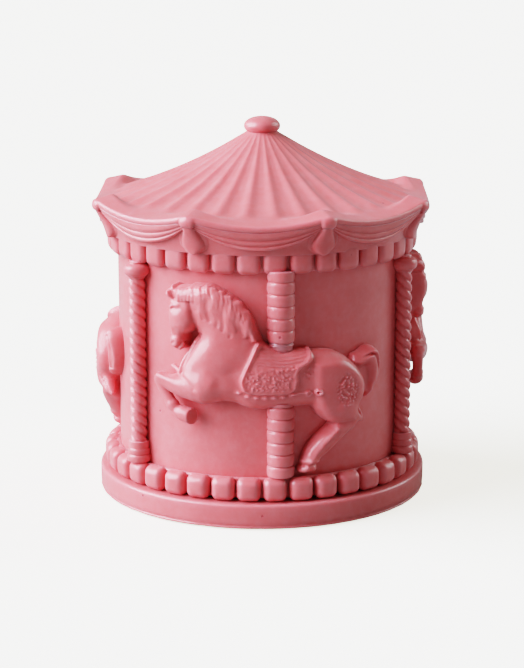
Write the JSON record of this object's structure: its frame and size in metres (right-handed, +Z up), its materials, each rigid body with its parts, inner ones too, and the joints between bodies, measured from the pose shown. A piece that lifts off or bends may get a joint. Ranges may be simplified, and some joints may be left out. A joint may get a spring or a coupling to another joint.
{
  "type": "carousel music box",
  "caption": "Cast carousel with relief horses, rope columns and a scalloped tent roof that turns on a low round plinth, driven by a key-wound cylinder movement.",
  "frame": {"origin": "middle of the underside, on the turning axis", "axes": "+Z up along the turning axis, -Y towards the front, where one horse pole stands 7 degrees to the +X side"},
  "size_m": [0.105, 0.105, 0.1188],
  "materials": {
    "cast": "satin, faintly translucent pink cast resin",
    "felt": "pressed wool felt",
    "nylon": "natural nylon",
    "board": "dark hardboard",
    "steel": "plated",
    "zinc": "die cast, unpolished",
    "brass": "machined"
  },
  "bodies": {
    "base": {"plinth": "cast", "base_felt": "felt", "glide_ring": "nylon", "mounting_plate": "board", "plate_screw_1": "steel", "plate_screw_2": "steel", "plate_screw_3": "steel", "movement_screw_1": "steel", "movement_screw_2": "steel", "movement_screw_3": "steel", "bedplate": "zinc", "comb": "steel", "comb_screw_1": "steel", "comb_screw_2": "steel", "inner_bracket": "brass", "outer_bracket": "brass", "governor_frame": "nylon", "clutch_spring": "steel"},
    "carousel": {"drum": "cast", "lower_block_ring": "cast", "upper_block_ring": "cast", "valance": "cast", "roof": "cast", "finial": "cast", "horse_pole_1": "cast", "horse_pole_2": "cast", "horse_pole_3": "cast", "horse_1": "cast", "horse_2": "cast", "horse_3": "cast", "column_1": "cast", "column_2": "cast", "column_3": "cast", "column_foot_1": "cast", "column_foot_2": "cast", "column_foot_3": "cast", "column_head_1": "cast", "column_head_2": "cast", "column_head_3": "cast", "drive_plate": "board", "drive_screw_1": "steel", "drive_screw_2": "steel", "drive_screw_3": "steel", "shaft_nut": "steel", "thrust_washer": "nylon", "drive_shaft": "steel", "spring_barrel": "brass", "mainspring": "steel", "barrel_lid": "brass"},
    "key": {"winding_key": "steel", "winding_arbor": "steel"},
    "cylinder": {"music_cylinder": "brass", "cylinder_arbor": "steel", "cylinder_pinion": "brass", "cylinder_wheel": "brass"},
    "governor": {"governor_wheel": "brass"},
    "fly": {"governor_fly": "nylon"}
  },
  "joints": [
    {"name": "carousel_spin", "type": "hinge", "parent": "base", "child": "carousel", "pos_m": [0, 0, 0.0281], "axis": [0, 0, 1], "continuous": true},
    {"name": "key_winding", "type": "hinge", "parent": "base", "child": "key", "pos_m": [0, 0, 0.0164], "axis": [0, 0, 1], "range_deg": [0, 1170]},
    {"name": "cylinder_spin", "type": "hinge", "parent": "base", "child": "cylinder", "pos_m": [0.0201, 0, 0.03232], "axis": [1, 0, 0], "continuous": true},
    {"name": "governor_spin", "type": "hinge", "parent": "base", "child": "governor", "pos_m": [0.0301, -0.0084, 0.03232], "axis": [1, 0, 0], "continuous": true},
    {"name": "fly_spin", "type": "hinge", "parent": "base", "child": "fly", "pos_m": [0.0326, -0.014, 0.0312], "axis": [0, 0, 1], "continuous": true}
  ],
  "couplings": [
    {"joint": "cylinder_spin", "follows": "carousel_spin", "ratio": 4},
    {"joint": "governor_spin", "follows": "carousel_spin", "ratio": -20},
    {"joint": "fly_spin", "follows": "carousel_spin", "ratio": -400}
  ]
}
